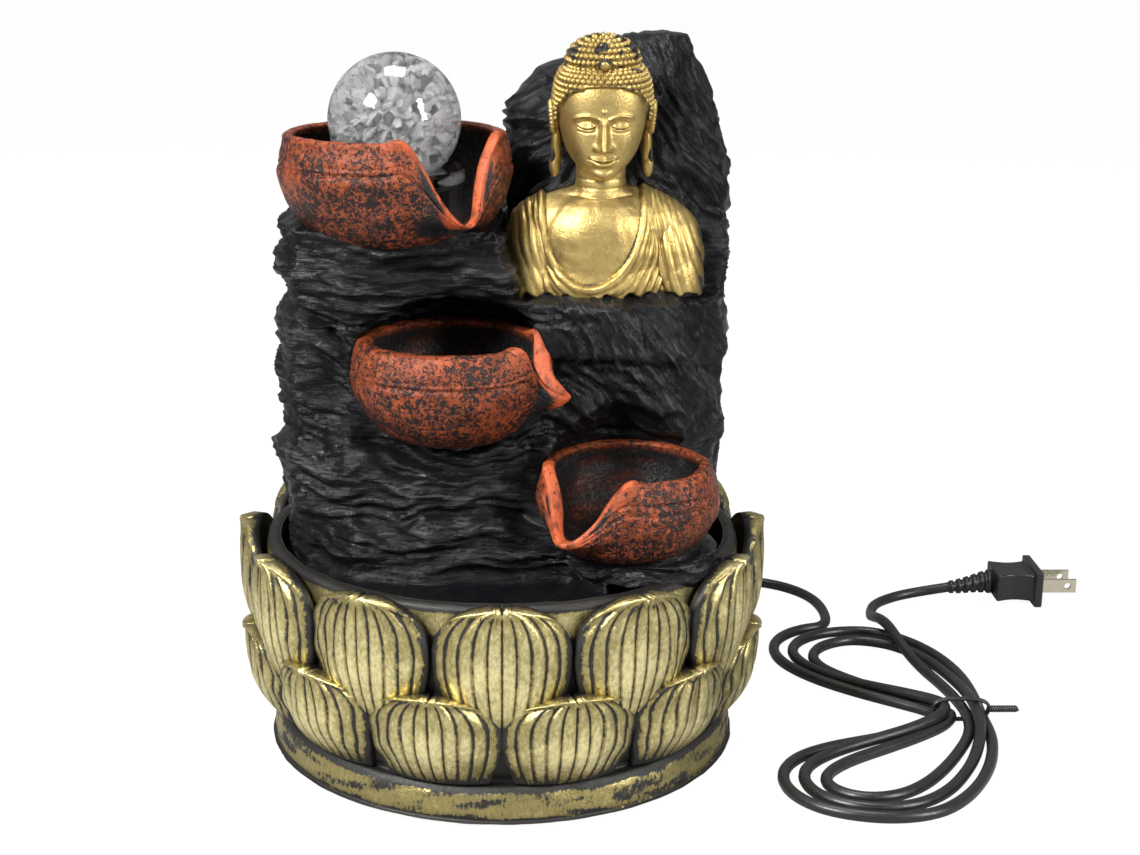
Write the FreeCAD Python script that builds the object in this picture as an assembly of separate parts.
import FreeCAD, Part
import math
import os

# Tabletop water fountain: a lotus-shaped basin, a hollow rock with three cascading bowls, a seated
# figure's bust, a glass ball turning on a lit water jet, and a submersible pump with its mains lead.
# Millimetres. +Z is up, the front faces -Y, and the origin is under the middle of the base.

os.makedirs("parts", exist_ok=True)
V = FreeCAD.Vector
UP = V(0, 0, 1)

# ---- driving dimensions ----
GAP = 0.3                      # between curved faces of pieces that move against each other
CONTACT_DEPTH = 3.0            # how far a moulded relief is sunk into the wall that carries it

PAD_RADIUS = 8.0
PAD_HEIGHT = 1.5
PAD_CIRCLE = 76.0

FOOT_RADIUS = 91.0
FOOT_HEIGHT = 15.0
WAIST_RADIUS = 86.0            # groove between the foot and the petals
BASIN_FLOOR_Z = 10.0
BASIN_RIM_Z = 84.0
BASIN_RIM_RADIUS = 91.0
BASIN_BORE_RADIUS = 86.0       # inside the rim, where the rock's deck drops in
SUMP_RADIUS = 83.0             # below the ledge that carries the deck
DECK_Z = 70.0                  # the ledge
DECK_THICKNESS = 8.0

PETALS = 12
UPPER_PETAL_TOP_Z = 88.0
UPPER_PETAL_RADIUS = 99.5
UPPER_PETAL_WIDTH = 48.0
UPPER_PETAL_FOOT_Z = 34.0
LOWER_PETAL_TOP_Z = 52.0
LOWER_PETAL_RADIUS = 105.0
LOWER_PETAL_WIDTH = 47.0
LOWER_PETAL_FOOT_Z = 15.5

ROCK_TOP_LEFT_Z = 206.0
ROCK_BACK_Y = 66.0
CAVITY_HALF_WIDTH = 52.0
CAVITY_FRONT_Y = 10.0
CAVITY_BACK_Y = 58.0
CAVITY_TOP_Z = 192.0
DUCT_LOW_Z = 180.0
SLAB_CAVITY_TOP_Z = 244.0
DRAIN_X, DRAIN_Y, DRAIN_RADIUS = 46.0, -62.0, 5.5   # the hollow that lets water back into the sump

HATCH_HALF_WIDTH = 30.0
HATCH_LOW_Z = 95.0
HATCH_HIGH_Z = 150.0
COVER_LIP = 3.0
COVER_THICKNESS = 3.0

UPPER_X, UPPER_Y, UPPER_Z = -39.5, -8.0, 199.0     # middle of each bowl's underside
MIDDLE_X, MIDDLE_Y, MIDDLE_Z = -18.7, -30.0, 129.0
LOWER_X, LOWER_Y, LOWER_Z = 46.2, -42.0, 88.0
UPPER_FLOOR = 6.0                                   # thickness of the upper bowl's flat floor

BALL_RADIUS = 24.5
BALL_Z = 243.5
SEAT_WALL = 3.0
SEAT_CLEARANCE = 3.0             # between the light and the seat that stands over it
SEAT_MARGIN = 1.0                # between the seat and the bowl's hollow
SEAT_TOP_Z = 226.0
SEAT_PLATE = 5.0

LIGHT_RADIUS = 20.0
LIGHT_HEIGHT = 13.5
LIGHT_BORE = 4.6
LIGHT_WALL = 1.5
LED_RADIUS = 2.5
LED_CIRCLE = 13.0
NOZZLE_RADIUS = 4.2
NOZZLE_BORE = 2.0
BARB_RADIUS = 3.0
BARB_REACH = 14.0               # from the nozzle's axis to the barb's tip
TUBE_RADIUS = 4.0
LIGHT_LEAD_RADIUS = 1.5

PUMP_X, PUMP_Y = 0.0, 30.0
PUMP_WIDTH, PUMP_DEPTH = 47.0, 49.0
CUP_HEIGHT = 6.0
PUMP_BODY_HEIGHT = 34.0
PUMP_COVER_HEIGHT = 10.0
PUMP_WALL = 2.0
ROTOR_X = 7.0                  # rotor axis, from the pump's middle
SHAFT_RADIUS = 1.5
SHAFT_CLEARANCE = 0.05
MAGNET_RADIUS = 8.8
WELL_RADIUS = 9.5
IMPELLER_RADIUS = 13.0
CHAMBER_RADIUS = 15.5
OUTLET_X, OUTLET_Y = -3.0, -9.0
OUTLET_HEIGHT = 14.0

BUST_X, BUST_Y = 36.5, -9.0
BUST_LOW_Z = 176.0
BUST_BACK_Y = -4.0               # the rock stands up behind the bust from here
BUST_TOP_Z = 276.5
SHOULDER_HALF = 36.5
HEAD_HALF_WIDTH = 16.5

CORD_RADIUS = 2.3
GROMMET_X, GROMMET_Z = 41.0, 98.0
GROMMET_RADIUS = 5.0
GROMMET_REACH = 8.0
HANK_HEIGHT = 12.0
HANK_X, HANK_Y = 186.0, 0.0
TIE_WIDTH = 2.0
TIE_THICKNESS = 0.6
PLUG_RELIEF_LENGTH = 21.0
PLUG_LENGTH = 21.0
BLADE_LENGTH = 17.0
BLADE_SPACING = 12.7

# ---- values that follow ----
SEAT_RADIUS = LIGHT_RADIUS + SEAT_CLEARANCE + SEAT_WALL
NOZZLE_ELBOW_Z = UPPER_Z - 13.0
LIGHT_LEAD_X, LIGHT_LEAD_Y = UPPER_X - 11.0, UPPER_Y + 6.0
PUMP_LOW_Z = BASIN_FLOOR_Z + CUP_HEIGHT
PUMP_SEAM_Z = PUMP_LOW_Z + PUMP_BODY_HEIGHT
PUMP_TOP_Z = PUMP_SEAM_Z + PUMP_COVER_HEIGHT
LIGHT_Z = UPPER_Z + UPPER_FLOOR
ROTOR = V(PUMP_X + ROTOR_X, PUMP_Y, 0)
OUTLET = V(PUMP_X + OUTLET_X, PUMP_Y + OUTLET_Y, PUMP_TOP_Z)
GLAND_Z = PUMP_LOW_Z + 24.0
GLAND_RADIUS = 4.0
GLAND_REACH = 7.5
LIGHT_GLAND_Y = PUMP_Y + 8.0


# ---- small helpers ----
def box(low, high):
    """A box between two opposite corners."""
    return Part.makeBox(high[0] - low[0], high[1] - low[1], high[2] - low[2], V(*low))


def cylinder(radius, low, high, x=0.0, y=0.0):
    """An upright cylinder from one height to another."""
    return Part.makeCylinder(radius, high - low, V(x, y, low))


def ring(outer, inner, low, high, x=0.0, y=0.0):
    """An upright tube."""
    return cylinder(outer, low, high, x, y).cut(cylinder(inner, low - 1, high + 1, x, y))


def turned(points, x=0.0, y=0.0, z=0.0):
    """A solid turned about a vertical axis from (radius, height) corners."""
    corners = [V(r, 0, h) for r, h in points]
    face = Part.Face(Part.makePolygon(corners + corners[:1]))
    solid = face.revolve(V(0, 0, 0), UP, 360)
    solid.translate(V(x, y, z))
    return solid


def prism(points, low, high):
    """A plan outline raised from one height to another."""
    corners = [V(x, y, low) for x, y in points]
    face = Part.Face(Part.makePolygon(corners + corners[:1]))
    return face.extrude(V(0, 0, high - low))


def rounded_block(x, y, width, depth, low, high, radius):
    """An upright block with rounded corners, centred on (x, y)."""
    block = box((x - width / 2, y - depth / 2, low), (x + width / 2, y + depth / 2, high))
    upright = [e for e in block.Edges if abs(e.tangentAt(e.FirstParameter).z) > 0.99]
    return block.makeFillet(radius, upright)


def cord_wire(points):
    """Straight runs joined by tangent arcs, each as large as its two runs allow."""
    knots = [V(*p) for p in points]
    edges = []
    start = knots[0]
    for before, corner, after in zip(knots, knots[1:], knots[2:]):
        arrive = corner.sub(before)
        leave = after.sub(corner)
        reach = 0.45 * min(arrive.Length, leave.Length)
        turn = arrive.getAngle(leave)
        print("cord bend radius", round(reach / math.tan(turn / 2), 1))
        arrive.normalize()
        leave.normalize()
        first = corner.sub(arrive * reach)
        last = corner.add(leave * reach)
        to_middle = leave.sub(arrive)
        to_middle.normalize()
        depth = reach / math.tan(turn / 2) * (1 / math.cos(turn / 2) - 1)
        edges.append(Part.LineSegment(start, first).toShape())
        edges.append(Part.Arc(first, corner.add(to_middle * depth), last).toShape())
        start = last
    edges.append(Part.LineSegment(start, knots[-1]).toShape())
    return Part.Wire(edges)


def cord_tube(points, radius):
    """A round solid along a cord's wire."""
    wire = cord_wire(points)
    direction = V(*points[1]).sub(V(*points[0]))
    section = Part.Wire(Part.makeCircle(radius, V(*points[0]), direction))
    tube = wire.makePipeShell([section], True, False)
    expected = math.pi * radius * radius * wire.Length
    print("cord length", round(wire.Length, 1), "volume ratio", round(tube.Volume / expected, 4))
    return tube


# ---- basin ----
def petal_outline(width, foot_z, top_z):
    """A petal seen from outside: a pointed foot, full sides and a broad top with a small tip."""
    half = width / 2
    height = top_z - foot_z
    foot = V(0, 0, foot_z)
    low_side = V(half * 0.62, 0, foot_z + 0.22 * height)
    side = V(half, 0, foot_z + 0.58 * height)
    shoulder = V(half * 0.72, 0, foot_z + 0.88 * height)
    tip = V(0, 0, top_z)
    right = [foot, low_side, side, shoulder, tip]
    left = [V(-p.x, 0, p.z) for p in reversed(right[1:-1])]
    return Part.makePolygon(right + left + [foot])


def petal_row(width, foot_z, top_z, reach, first_angle):
    """A ring of petals: one turned shell kept only inside the petals' outlines."""
    height = top_z - foot_z
    inner = WAIST_RADIUS + CONTACT_DEPTH
    shell = turned([(inner, foot_z), (reach - 9, foot_z), (reach - 2, foot_z + 0.35 * height),
                    (reach, foot_z + 0.7 * height), (reach - 1, top_z), (inner, top_z)])
    cutter = Part.Face(petal_outline(width, foot_z, top_z)).extrude(V(0, -(reach + 10), 0))
    petals = []
    for i in range(PETALS):
        copy = cutter.copy()
        copy.rotate(V(0, 0, 0), UP, first_angle + i * 360.0 / PETALS)
        petals.append(shell.common(copy))
    return petals


def lotus_basin():
    wall = turned([
        (0, PAD_HEIGHT), (FOOT_RADIUS, PAD_HEIGHT), (FOOT_RADIUS, FOOT_HEIGHT - 2),
        (FOOT_RADIUS - 2, FOOT_HEIGHT), (WAIST_RADIUS, FOOT_HEIGHT), (WAIST_RADIUS + 1, FOOT_HEIGHT + 3),
        (BASIN_RIM_RADIUS, FOOT_HEIGHT + 16), (BASIN_RIM_RADIUS + 2, BASIN_RIM_Z - 24),
        (BASIN_RIM_RADIUS, BASIN_RIM_Z), (BASIN_BORE_RADIUS, BASIN_RIM_Z), (BASIN_BORE_RADIUS, DECK_Z),
        (SUMP_RADIUS, DECK_Z), (SUMP_RADIUS - 3, BASIN_FLOOR_Z), (0, BASIN_FLOOR_Z)])
    upper = petal_row(UPPER_PETAL_WIDTH, UPPER_PETAL_FOOT_Z, UPPER_PETAL_TOP_Z, UPPER_PETAL_RADIUS, 0.0)
    lower = petal_row(LOWER_PETAL_WIDTH, LOWER_PETAL_FOOT_Z, LOWER_PETAL_TOP_Z, LOWER_PETAL_RADIUS,
                      180.0 / PETALS)
    basin = wall.multiFuse(upper + lower)
    return basin.cut(cylinder(BASIN_BORE_RADIUS, DECK_Z, UPPER_PETAL_TOP_Z + 1))


def base_pads():
    pads = []
    for i in range(4):
        angle = math.radians(45 + 90 * i)
        pads.append(cylinder(PAD_RADIUS, 0, PAD_HEIGHT, PAD_CIRCLE * math.cos(angle),
                             PAD_CIRCLE * math.sin(angle)))
    return Part.makeCompound(pads)


# ---- bowls ----
UPPER_OUTER = [(0, 0), (24, 0), (32, 4), (39.5, 14), (43.6, 28), (43.0, 31), (41.8, 36), (41, 40.5)]
UPPER_INNER = [(37, 40.5), (39, 29), (36, 15), (SEAT_RADIUS + SEAT_MARGIN + 1.5, UPPER_FLOOR + 1),
               (SEAT_RADIUS + SEAT_MARGIN, UPPER_FLOOR), (0, UPPER_FLOOR)]
MIDDLE_OUTER = [(0, 0), (18, 0), (29, 7), (35.5, 17), (37.4, 27), (36.2, 33), (33.5, 38)]
MIDDLE_INNER = [(28.2, 38), (31, 29), (29, 17), (20, 6), (0, 5)]
LOWER_OUTER = [(0, 0), (16, 0), (26, 5), (32, 15), (33.7, 22), (32.5, 29), (30, 34.7)]
LOWER_INNER = [(25.7, 34.7), (28, 25), (25, 14), (17, 5.5), (0, 5)]


def wedge(direction, start, end, half_top, half_low, low, high):
    """A trough-shaped block that runs outwards from the bowl's axis at one angle."""
    corners = [V(start, -half_low, low), V(start, half_low, low), V(start, half_top, high),
               V(start, -half_top, high)]
    block = Part.Face(Part.makePolygon(corners + corners[:1])).extrude(V(end - start, 0, 0))
    block.rotate(V(0, 0, 0), UP, direction)
    return block


class Bowl:
    """A round bowl with one pouring spout: its outside, its hollow, and the finished piece."""

    def __init__(self, place, outer, inner, direction, reach, half_width, lip_z, wall=3.0):
        rim_z = outer[-1][1]
        body = turned(outer + [(0, rim_z)])
        hollow = turned([(0, rim_z + 1), (inner[0][0], rim_z + 1)] + inner)
        mouth = wedge(direction, 8, reach + 2, half_width, 2.5, lip_z, rim_z + 1)
        side = wedge(direction, 20, reach, half_width + wall, 2.5 + wall, lip_z - wall, rim_z)
        round_limit = turned([(0, -1), (reach, -1), (reach, rim_z), (0, rim_z)])
        self.envelope = body.fuse(side.common(round_limit))
        self.piece = self.envelope.cut(hollow).cut(mouth)
        self.envelope.translate(V(*place))
        self.piece.translate(V(*place))


UPPER = Bowl((UPPER_X, UPPER_Y, UPPER_Z), UPPER_OUTER, UPPER_INNER, -52, 46.5, 19, 12)
MIDDLE = Bowl((MIDDLE_X, MIDDLE_Y, MIDDLE_Z), MIDDLE_OUTER, MIDDLE_INNER, -18, 46, 9, 20)
LOWER = Bowl((LOWER_X, LOWER_Y, LOWER_Z), LOWER_OUTER, LOWER_INNER, -132, 40, 16, 14)


def upper_bowl():
    nozzle_hole = cylinder(NOZZLE_RADIUS, UPPER_Z - 1, LIGHT_Z + 1, UPPER_X, UPPER_Y)
    lead_hole = cylinder(LIGHT_LEAD_RADIUS, UPPER_Z - 1, LIGHT_Z + 1, LIGHT_LEAD_X, LIGHT_LEAD_Y)
    return UPPER.piece.cut(nozzle_hole).cut(lead_hole)


# ---- bust ----
def ellipse_wire(half_width, half_depth, z, x=BUST_X, y=BUST_Y):
    if half_width >= half_depth:
        curve = Part.Ellipse(V(x, y, z), half_width, half_depth)
    else:
        curve = Part.Ellipse(V(x, y + half_depth, z), V(x + half_width, y, z), V(x, y, z))
    return Part.Wire(curve.toShape())


def statue():
    chin_z = BUST_TOP_Z - 51.0
    shoulder_z = BUST_LOW_Z + 27.0
    torso = Part.makeLoft([
        ellipse_wire(SHOULDER_HALF - 4, 15, BUST_LOW_Z),
        ellipse_wire(SHOULDER_HALF, 17, BUST_LOW_Z + 14),
        ellipse_wire(SHOULDER_HALF - 1, 16, shoulder_z),
        ellipse_wire(SHOULDER_HALF * 0.66, 13, shoulder_z + 13),
        ellipse_wire(11, 9.5, shoulder_z + 20)], True, False)
    neck = cylinder(9, shoulder_z + 18, chin_z + 8, BUST_X, BUST_Y)
    head = turned([(0, 0), (9, 1), (13.5, 8), (15.5, 18), (HEAD_HALF_WIDTH, 27), (15.5, 36), (11, 42),
                   (9, 44), (8, 48), (4, 51), (0, 51)], BUST_X, BUST_Y, chin_z)
    return torso.fuse(neck).fuse(head)


# ---- rock ----
ROCK_PLAN = [(-81, -12), (-72, -34), (-52, -46), (-25, -46), (0, -43), (25, -42), (48, -50), (68, -42),
             (80, -8), (80, 18), (68, 46), (50, ROCK_BACK_Y), (-44, ROCK_BACK_Y), (-66, 48), (-80, 20)]
ROCK_UPPER_PLAN = [(-82, -12), (-74, -32), (-54, -42), (-25, -42), (0, -36), (22, -30), (45, -28),
                   (66, -26), (84, -4), (87, 22), (76, 48), (50, ROCK_BACK_Y), (-44, ROCK_BACK_Y),
                   (-68, 50), (-84, 22)]
ROCK_WAIST_PLAN = [(-83, -12), (-76, -28), (-56, -34), (-26, -27), (-2, -23), (22, -27), (45, -28),
                   (66, -25), (84, -4), (87, 22), (76, 48), (50, ROCK_BACK_Y), (-44, ROCK_BACK_Y), (-68, 50),
                   (-84, 22)]
SLAB_PLAN = [(2, 6), (20, -6), (45, -8), (68, -6), (84, 6), (88, 28), (78, 50), (50, ROCK_BACK_Y),
             (18, ROCK_BACK_Y), (2, 44)]
SLAB_TOP_PLAN = [(26, 26), (36, 20), (52, 14), (66, 16), (72, 22), (75, 32), (70, 42), (58, 48),
                 (42, 48), (30, 40)]


def section(points, z):
    corners = [V(x, y, z) for x, y in points]
    return Part.makePolygon(corners + corners[:1])


def rock_outside():
    deck = cylinder(BASIN_BORE_RADIUS, DECK_Z, DECK_Z + DECK_THICKNESS)
    column = Part.makeLoft([section(ROCK_PLAN, DECK_Z), section(ROCK_PLAN, 104),
                            section(ROCK_UPPER_PLAN, 122), section(ROCK_WAIST_PLAN, 144),
                            section(ROCK_WAIST_PLAN, 166), section(ROCK_UPPER_PLAN, 184),
                            section(ROCK_UPPER_PLAN, ROCK_TOP_LEFT_Z)],
                           True, True)
    slab = Part.makeLoft([section(SLAB_PLAN, 190), section(SLAB_PLAN, 238),
                          section(SLAB_TOP_PLAN, 273.5)], True, True)
    ledge = box((BUST_X - SHOULDER_HALF - 4, -70, BUST_LOW_Z + 2), (100, BUST_BACK_Y, ROCK_TOP_LEFT_Z + 1))
    column = column.cut(ledge)
    cradle = cylinder(36, ROCK_TOP_LEFT_Z - 4, ROCK_TOP_LEFT_Z + 8, UPPER_X, UPPER_Y + 14)
    return deck.fuse(column).fuse(slab).fuse(cradle)


def clearing(x, y, z, low_radius, high_radius, height):
    """The open space that the rock leaves above a bowl."""
    return Part.makeCone(low_radius, high_radius, height, V(x, y, z))


def rock_body():
    rock = rock_outside()
    bay = box((-CAVITY_HALF_WIDTH, CAVITY_FRONT_Y, DECK_Z - 1),
              (CAVITY_HALF_WIDTH, CAVITY_BACK_Y, CAVITY_TOP_Z))
    duct = box((UPPER_X - 15, UPPER_Y - 6, DUCT_LOW_Z), (UPPER_X + 7, CAVITY_FRONT_Y + 2, CAVITY_TOP_Z))
    chimney = cylinder(15, CAVITY_TOP_Z - 6, UPPER_Z + 1, UPPER_X, UPPER_Y)
    slab_bay = box((16, 16, CAVITY_TOP_Z - 1), (72, 50, SLAB_CAVITY_TOP_Z))
    hatch = box((-HATCH_HALF_WIDTH, CAVITY_BACK_Y - 1, HATCH_LOW_Z),
                (HATCH_HALF_WIDTH, ROCK_BACK_Y + 1, HATCH_HIGH_Z))
    drain = cylinder(DRAIN_RADIUS, DECK_Z - 1, DECK_Z + 60, DRAIN_X, DRAIN_Y)
    cord_hole = Part.makeCylinder(GROMMET_RADIUS, 20, V(GROMMET_X, CAVITY_BACK_Y - 1, GROMMET_Z),
                                  V(0, 1, 0))
    clearings = [clearing(MIDDLE_X, MIDDLE_Y, MIDDLE_Z + 30, 36, 32, 21),
                 clearing(LOWER_X, LOWER_Y, LOWER_Z + 27, 33, 22, 42)]
    for hollow in (bay, duct, chimney, slab_bay, hatch, drain, cord_hole, *clearings):
        rock = rock.cut(hollow)
    for sunk in (UPPER.envelope, MIDDLE.envelope, LOWER.envelope, statue()):
        rock = rock.cut(sunk)
    return max(rock.Solids, key=lambda solid: solid.Volume)


def rear_cover():
    plug = box((-HATCH_HALF_WIDTH + GAP, CAVITY_BACK_Y, HATCH_LOW_Z + GAP),
               (HATCH_HALF_WIDTH - GAP, ROCK_BACK_Y, HATCH_HIGH_Z - GAP))
    plate = box((-HATCH_HALF_WIDTH - COVER_LIP, ROCK_BACK_Y + 0.05, HATCH_LOW_Z - COVER_LIP),
                (HATCH_HALF_WIDTH + COVER_LIP, ROCK_BACK_Y + COVER_THICKNESS, HATCH_HIGH_Z + COVER_LIP))
    finger = cylinder(9, HATCH_HIGH_Z - 4, HATCH_HIGH_Z + COVER_LIP + 1, 0, ROCK_BACK_Y + 9)
    bridge = box((-HATCH_HALF_WIDTH + GAP, ROCK_BACK_Y - 1, HATCH_LOW_Z + GAP),
                 (HATCH_HALF_WIDTH - GAP, ROCK_BACK_Y + 1, HATCH_HIGH_Z - GAP))
    return plug.fuse(bridge).fuse(plate).cut(finger)


# ---- ball, seat, light and jet ----
def glass_ball():
    return Part.makeSphere(BALL_RADIUS, V(UPPER_X, UPPER_Y, BALL_Z))


def ball_seat():
    cup = cylinder(SEAT_RADIUS, LIGHT_Z + 0.05, SEAT_TOP_Z, UPPER_X, UPPER_Y)
    room = cylinder(SEAT_RADIUS - SEAT_WALL, LIGHT_Z, SEAT_TOP_Z - SEAT_PLATE, UPPER_X, UPPER_Y)
    dish = Part.makeSphere(BALL_RADIUS + GAP, V(UPPER_X, UPPER_Y, BALL_Z))
    return cup.cut(room).cut(dish)


def light_pieces():
    top_z = LIGHT_Z + LIGHT_HEIGHT
    board_z = top_z - 4.5
    shell = ring(LIGHT_RADIUS, LIGHT_BORE, LIGHT_Z + LIGHT_WALL, top_z, UPPER_X, UPPER_Y)
    room = ring(LIGHT_RADIUS - LIGHT_WALL, LIGHT_BORE + LIGHT_WALL, LIGHT_Z, top_z - LIGHT_WALL,
                UPPER_X, UPPER_Y)
    housing = shell.cut(room)
    leds = []
    for i in range(4):
        angle = math.radians(45 + 90 * i)
        x = UPPER_X + LED_CIRCLE * math.cos(angle)
        y = UPPER_Y + LED_CIRCLE * math.sin(angle)
        lamp = cylinder(LED_RADIUS, board_z + 1.2, top_z - 0.5, x, y)
        dome = Part.makeSphere(LED_RADIUS, V(x, y, top_z - 0.5))
        leds.append(lamp.fuse(dome.common(cylinder(LED_RADIUS + 1, top_z - 0.5, top_z + 4, x, y))))
        housing = housing.cut(cylinder(LED_RADIUS, top_z - 4, top_z + 1, x, y))
    board = ring(LIGHT_RADIUS - LIGHT_WALL - 0.2, LIGHT_BORE + LIGHT_WALL + 0.2, board_z, board_z + 1.2,
                 UPPER_X, UPPER_Y)
    back = ring(LIGHT_RADIUS, LIGHT_BORE, LIGHT_Z, LIGHT_Z + LIGHT_WALL, UPPER_X, UPPER_Y)
    back = back.cut(cylinder(LIGHT_LEAD_RADIUS, LIGHT_Z - 1, board_z, LIGHT_LEAD_X, LIGHT_LEAD_Y))
    return housing, Part.makeCompound(leds), board, back


def jet_nozzle():
    elbow = V(UPPER_X, UPPER_Y, NOZZLE_ELBOW_Z)
    barb = Part.makeCylinder(BARB_RADIUS, BARB_REACH, elbow, V(0, 1, 0))
    flange = cylinder(7, UPPER_Z - 3, UPPER_Z, UPPER_X, UPPER_Y)
    pipe = cylinder(NOZZLE_RADIUS, NOZZLE_ELBOW_Z - NOZZLE_RADIUS, LIGHT_Z + LIGHT_HEIGHT - 2,
                    UPPER_X, UPPER_Y)
    bore = cylinder(NOZZLE_BORE, NOZZLE_ELBOW_Z, LIGHT_Z + LIGHT_HEIGHT, UPPER_X, UPPER_Y)
    side_bore = Part.makeCylinder(NOZZLE_BORE, BARB_REACH + 1, elbow, V(0, 1, 0))
    return barb.fuse(flange).fuse(pipe).cut(bore).cut(side_bore)


WATER_ROUTE = [(OUTLET.x, OUTLET.y, PUMP_TOP_Z + 2), (OUTLET.x, OUTLET.y, 88), (-22, 30, 116),
               (-37, 43, 144), (UPPER_X, 43, 170), (UPPER_X, 27, NOZZLE_ELBOW_Z),
               (UPPER_X, UPPER_Y + NOZZLE_RADIUS, NOZZLE_ELBOW_Z)]
LIGHT_ROUTE = [(LIGHT_LEAD_X, LIGHT_LEAD_Y, LIGHT_Z + LIGHT_WALL), (LIGHT_LEAD_X, LIGHT_LEAD_Y, 194),
               (-50, 6, 184), (-49, 24, 174), (-48, 35, 150), (-48, 40, 112), (-46, 42, 78),
               (-46, 40, 56), (-42, LIGHT_GLAND_Y, GLAND_Z),
               (PUMP_X - PUMP_WIDTH / 2 - GLAND_REACH, LIGHT_GLAND_Y, GLAND_Z)]
INNER_ROUTE = [(PUMP_X + PUMP_WIDTH / 2 + GLAND_REACH, PUMP_Y, GLAND_Z), (44, PUMP_Y, GLAND_Z),
               (47.5, 29, 58), (47.5, 27, 80), (43, 36, 95), (GROMMET_X, 47, GROMMET_Z),
               (GROMMET_X, CAVITY_BACK_Y, GROMMET_Z)]


def water_tube():
    outer = cord_tube(WATER_ROUTE, TUBE_RADIUS)
    inner = cord_tube(WATER_ROUTE, BARB_RADIUS)
    return outer.cut(inner)


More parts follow.
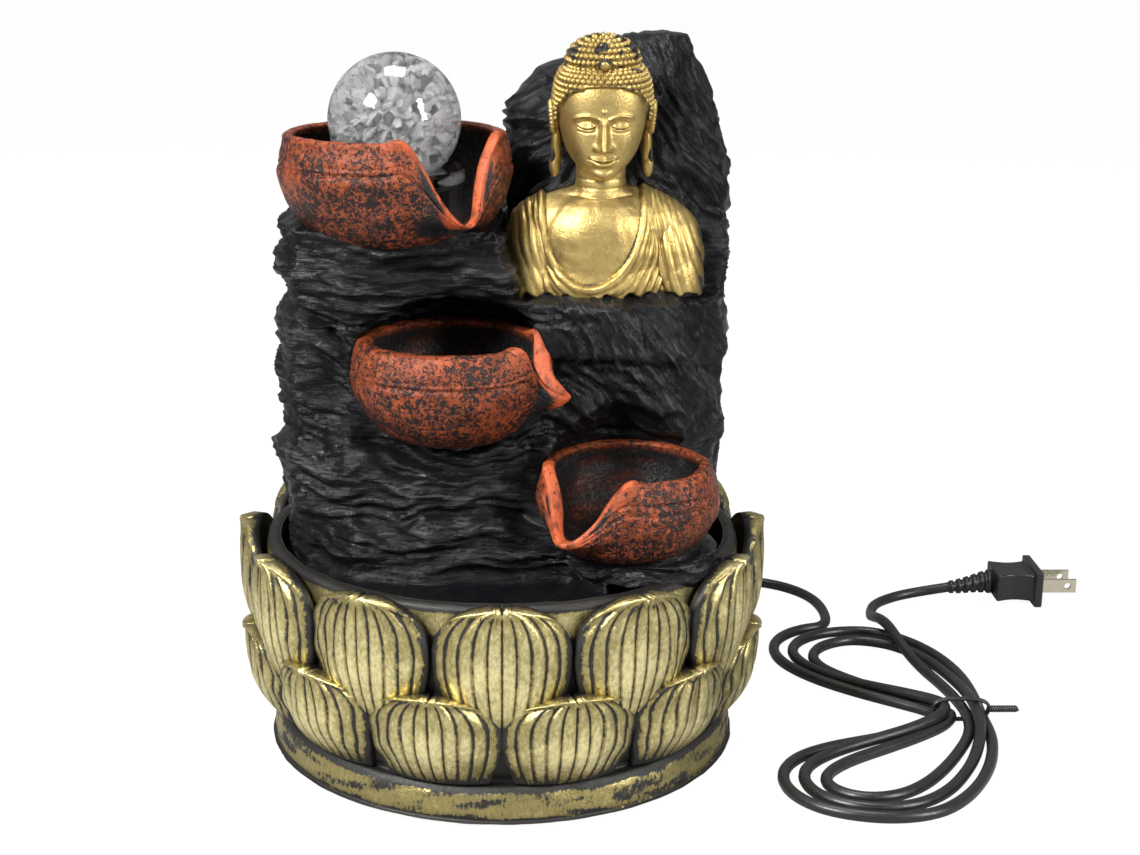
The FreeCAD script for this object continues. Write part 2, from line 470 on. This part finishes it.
# ---- pump ----
def pump_pieces():
    left, right = PUMP_X - PUMP_WIDTH / 2, PUMP_X + PUMP_WIDTH / 2
    front, back = PUMP_Y - PUMP_DEPTH / 2, PUMP_Y + PUMP_DEPTH / 2
    chamber_z = PUMP_SEAM_Z - 6
    well_z = PUMP_LOW_Z + 8
    rx, ry = ROTOR.x, ROTOR.y
    body = rounded_block(PUMP_X, PUMP_Y, PUMP_WIDTH, PUMP_DEPTH, PUMP_LOW_Z, PUMP_SEAM_Z, 5)
    pocket = box((left + PUMP_WALL, front + PUMP_WALL, PUMP_LOW_Z),
                 (right - PUMP_WALL, back - PUMP_WALL, chamber_z - 2))
    well_wall = cylinder(WELL_RADIUS + 1.5, well_z - 2, chamber_z, rx, ry)
    body = body.cut(pocket.cut(well_wall))
    body = body.cut(cylinder(WELL_RADIUS, well_z, PUMP_SEAM_Z + 1, rx, ry))
    body = body.cut(cylinder(CHAMBER_RADIUS, chamber_z, PUMP_SEAM_Z + 1, rx, ry))
    gland_bore = Part.makeCylinder(CORD_RADIUS, 30, V(right - 3, PUMP_Y, GLAND_Z), V(1, 0, 0))
    light_bore = Part.makeCylinder(LIGHT_LEAD_RADIUS, 30, V(left + 3, LIGHT_GLAND_Y, GLAND_Z),
                                   V(-1, 0, 0))
    body = body.cut(gland_bore).cut(light_bore)
    base_plate = box((left + PUMP_WALL, front + PUMP_WALL, PUMP_LOW_Z),
                     (right - PUMP_WALL, back - PUMP_WALL, PUMP_LOW_Z + PUMP_WALL))
    glands = []
    for x, y, way, bore in ((right, PUMP_Y, 1, CORD_RADIUS), (left, LIGHT_GLAND_Y, -1, LIGHT_LEAD_RADIUS)):
        cone = Part.makeCone(GLAND_RADIUS, bore + 1, GLAND_REACH, V(x, y, GLAND_Z), V(way, 0, 0))
        glands.append(cone.cut(Part.makeCylinder(bore, 30, V(x - way * 10, y, GLAND_Z), V(way, 0, 0))))

    cover = rounded_block(PUMP_X, PUMP_Y, PUMP_WIDTH, PUMP_DEPTH, PUMP_SEAM_Z, PUMP_TOP_Z, 5)
    stub = cylinder(BARB_RADIUS, PUMP_TOP_Z, PUMP_TOP_Z + OUTLET_HEIGHT, OUTLET.x, OUTLET.y)
    collar = cylinder(8, PUMP_TOP_Z, PUMP_TOP_Z + 2, OUTLET.x, OUTLET.y)
    cover = cover.fuse(collar).fuse(stub)
    cover = cover.cut(cylinder(2.2, PUMP_SEAM_Z - 1, PUMP_TOP_Z + OUTLET_HEIGHT + 1, OUTLET.x, OUTLET.y))
    for i in range(5):
        slot_y = ry - 8 + 4 * i
        cover = cover.cut(box((rx + 5, slot_y - 0.9, PUMP_SEAM_Z - 1),
                              (rx + 13, slot_y + 0.9, PUMP_TOP_Z + 1)))
    cover = cover.cut(cylinder(3, PUMP_SEAM_Z - 1, PUMP_SEAM_Z + 3, rx, ry))
    rails = []
    for rail_x in (rx + 3, rx + 13.5):
        rails.append(box((rail_x, ry - 14, PUMP_TOP_Z), (rail_x + 1.5, ry + 14, PUMP_TOP_Z + 1.5)))
    cover = cover.multiFuse(rails)
    slider = box((rx + 4.6, ry - 12, PUMP_TOP_Z + 0.05), (rx + 13.4, ry - 2, PUMP_TOP_Z + 1.6))
    thumb = box((rx + 7, ry - 8, PUMP_TOP_Z + 1.6), (rx + 11, ry - 5.5, PUMP_TOP_Z + 3.4))
    slider = slider.fuse(thumb)

    magnet = ring(MAGNET_RADIUS, SHAFT_RADIUS + SHAFT_CLEARANCE, well_z + 2.3, chamber_z - 1, rx, ry)
    hub = cylinder(4, chamber_z - 1, PUMP_SEAM_Z - 0.5, rx, ry)
    disc = cylinder(IMPELLER_RADIUS, chamber_z + 0.5, chamber_z + 1.5, rx, ry)
    impeller = hub.fuse(disc)
    for i in range(6):
        blade = box((rx + 3, ry - 0.6, chamber_z + 1), (rx + IMPELLER_RADIUS - 0.5, ry + 0.6,
                                                        PUMP_SEAM_Z - 1))
        blade.rotate(ROTOR, UP, 60 * i)
        impeller = impeller.fuse(blade)
    impeller = impeller.cut(cylinder(SHAFT_RADIUS + SHAFT_CLEARANCE, well_z, PUMP_SEAM_Z + 1, rx, ry))
    shaft = cylinder(SHAFT_RADIUS, well_z, PUMP_SEAM_Z + 3, rx, ry)
    bushes = Part.makeCompound([ring(3, SHAFT_RADIUS, well_z, well_z + 2, rx, ry),
                                ring(3, SHAFT_RADIUS, PUMP_SEAM_Z, PUMP_SEAM_Z + 3, rx, ry)])

    core_low, core_high = PUMP_LOW_Z + 8, PUMP_LOW_Z + 21
    core = box((PUMP_X - 19, PUMP_Y - 12.5, core_low), (PUMP_X + 20, PUMP_Y + 12.5, core_high))
    core = core.cut(cylinder(WELL_RADIUS + 1.7, core_low - 1, core_high + 1, rx, ry))
    core = core.cut(box((PUMP_X - 13, PUMP_Y - 7, core_low - 1), (PUMP_X - 5.5, PUMP_Y + 7, core_high + 1)))
    coil = box((PUMP_X - 21, PUMP_Y - 6.5, core_low - 3), (PUMP_X - 6.5, PUMP_Y + 6.5, core_high + 3))
    coil = coil.cut(box((PUMP_X - 19.2, PUMP_Y - 8, core_low - 0.2), (PUMP_X - 12.8, PUMP_Y + 8,
                                                                       core_high + 0.2)))
    coil = coil.cut(cylinder(WELL_RADIUS + 1.7, core_low - 4, core_high + 4, rx, ry))
    core = max(core.Solids, key=lambda solid: solid.Volume)
    cups = []
    for sx in (-1, 1):
        for sy in (-1, 1):
            cups.append(Part.makeCone(6, 3, CUP_HEIGHT, V(PUMP_X + sx * 16, PUMP_Y + sy * 16,
                                                          BASIN_FLOOR_Z)))
    label = box((left + 8, back, PUMP_LOW_Z + 6), (right - 8, back + 0.3, PUMP_LOW_Z + 28))
    return {"pump_housing": body, "pump_base_plate": base_plate, "pump_front_cover": cover,
            "pump_lead_glands": Part.makeCompound(glands), "pump_flow_slider": slider,
            "pump_rotor_magnet": magnet, "pump_impeller": impeller, "pump_shaft": shaft,
            "pump_shaft_bushes": bushes, "pump_stator_core": core, "pump_coil": coil,
            "pump_suction_cups": Part.makeCompound(cups), "pump_label": label}


# ---- mains lead ----
LEAD_EXIT = (GROMMET_X, ROCK_BACK_Y + GROMMET_REACH, GROMMET_Z)
LEAD_ROUTE = [LEAD_EXIT, (GROMMET_X, 92, GROMMET_Z), (44, 111, 94), (49, 125, 76), (53, 133, 52), (58, 139, 27),
              (70, 147, 6), (90, 156, CORD_RADIUS), (113, 158, CORD_RADIUS), (133, 151, CORD_RADIUS),
              (146, 136, CORD_RADIUS), (150, 117, CORD_RADIUS), (150, 97, CORD_RADIUS)]
TAIL_ROUTE = [(170, 97, CORD_RADIUS), (170, 110, CORD_RADIUS), (174, 124, CORD_RADIUS),
              (185, 134, CORD_RADIUS), (198, 138, CORD_RADIUS), (212, 138, CORD_RADIUS)]
HANK_OUTLINE = [(8, 5), (12, 24), (12, 45), (2, 76), (-8, 97), (-44, 97), (-62, 84), (-68, 60),
                (-52, 32), (-26, 14), (-12, 5), (-12, -5), (-30, -20), (-64, -30), (-82, -48),
                (-80, -72), (-58, -88), (-28, -88), (-4, -64), (8, -30), (8, -5)]


def hank_tie():
    low = (HANK_X - 12, HANK_Y - TIE_WIDTH / 2, 0)
    high = (HANK_X + 8, HANK_Y + TIE_WIDTH / 2, HANK_HEIGHT)
    inner_low = (low[0] + TIE_THICKNESS, low[1] - 1, TIE_THICKNESS)
    inner_high = (high[0] - TIE_THICKNESS, high[1] + 1, HANK_HEIGHT - TIE_THICKNESS)
    band = box(low, high).cut(box(inner_low, inner_high))
    ears = box((high[0], low[1], 4), (high[0] + 9, high[1], 5.4))
    return band.fuse(ears)


def cord_hank():
    outline = [(HANK_X + x, HANK_Y + y) for x, y in HANK_OUTLINE]
    return prism(outline, 0, HANK_HEIGHT).cut(hank_tie())


def cord_grommet():
    bore = Part.makeCylinder(CORD_RADIUS, 60, V(GROMMET_X, CAVITY_BACK_Y - 20, GROMMET_Z), V(0, 1, 0))
    plug = Part.makeCylinder(GROMMET_RADIUS, ROCK_BACK_Y - CAVITY_BACK_Y,
                             V(GROMMET_X, CAVITY_BACK_Y, GROMMET_Z), V(0, 1, 0))
    relief = Part.makeCone(GROMMET_RADIUS + 1.5, CORD_RADIUS + 1.2, GROMMET_REACH,
                           V(GROMMET_X, ROCK_BACK_Y, GROMMET_Z), V(0, 1, 0))
    return plug.fuse(relief).cut(bore)


def lead_in_grommet():
    return Part.makeCylinder(CORD_RADIUS, LEAD_EXIT[1] - CAVITY_BACK_Y,
                             V(GROMMET_X, CAVITY_BACK_Y, GROMMET_Z), V(0, 1, 0))


def plug_pieces():
    x, y, z = TAIL_ROUTE[-1]
    along = V(1, 0, 0)
    axis_z = 9.0
    relief = Part.makeLoft([
        Part.Wire(Part.makeCircle(CORD_RADIUS, V(x, y, z), along)),
        Part.Wire(Part.makeCircle(4.2, V(x + PLUG_RELIEF_LENGTH * 0.5, y, 5.6), along)),
        Part.Wire(Part.makeCircle(5.5, V(x + PLUG_RELIEF_LENGTH, y, 7.5), along))], True, True)
    body_x = x + PLUG_RELIEF_LENGTH
    body = box((body_x, y - 10.5, axis_z - 6.5), (body_x + PLUG_LENGTH - 4, y + 10.5, axis_z + 6.5))
    body = body.makeFillet(2.5, [e for e in body.Edges if abs(e.tangentAt(0).x) > 0.99])
    flange = box((body_x + PLUG_LENGTH - 4, y - 13, 0), (body_x + PLUG_LENGTH, y + 13, 2 * axis_z))
    flange = flange.makeFillet(4, [e for e in flange.Edges if abs(e.tangentAt(0).x) > 0.99])
    blades = []
    for side in (-1, 1):
        mid_y = y + side * BLADE_SPACING / 2
        blade = box((body_x + PLUG_LENGTH, mid_y - 0.75, axis_z - 3.2),
                    (body_x + PLUG_LENGTH + BLADE_LENGTH, mid_y + 0.75, axis_z + 3.2))
        hole = Part.makeCylinder(1.5, 6, V(body_x + PLUG_LENGTH + BLADE_LENGTH - 4, mid_y - 3, axis_z),
                                 V(0, 1, 0))
        blades.append(blade.cut(hole))
    return relief, body.fuse(flange), Part.makeCompound(blades)


# ---- write every node ----
def build():
    housing, leds, board, back = light_pieces()
    relief, plug, blades = plug_pieces()
    nodes = {
        "base_pads": base_pads(), "lotus_basin": lotus_basin(), "rock_body": rock_body(),
        "upper_bowl": upper_bowl(), "middle_bowl": MIDDLE.piece, "lower_bowl": LOWER.piece,
        "statue": statue(), "rear_cover": rear_cover(), "glass_ball": glass_ball(),
        "ball_seat": ball_seat(), "light_housing": housing, "light_leds": leds, "light_board": board,
        "light_back_cover": back, "jet_nozzle": jet_nozzle(), "water_tube": water_tube(),
        "light_lead": cord_tube(LIGHT_ROUTE, LIGHT_LEAD_RADIUS),
        "inner_mains_lead": cord_tube(INNER_ROUTE, CORD_RADIUS).fuse(lead_in_grommet()),
        "cord_grommet": cord_grommet(), "mains_lead": cord_tube(LEAD_ROUTE, CORD_RADIUS),
        "cord_hank": cord_hank(), "hank_tie": hank_tie(),
        "mains_lead_tail": cord_tube(TAIL_ROUTE, CORD_RADIUS), "plug_strain_relief": relief,
        "plug_body": plug, "plug_blades": blades}
    nodes.update(pump_pieces())
    for name, shape in nodes.items():
        solids = shape.Solids
        print(name, "solids", len(solids), "volume", round(shape.Volume), "valid", shape.isValid())
        shape.exportStep("parts/" + name + ".step")


build()
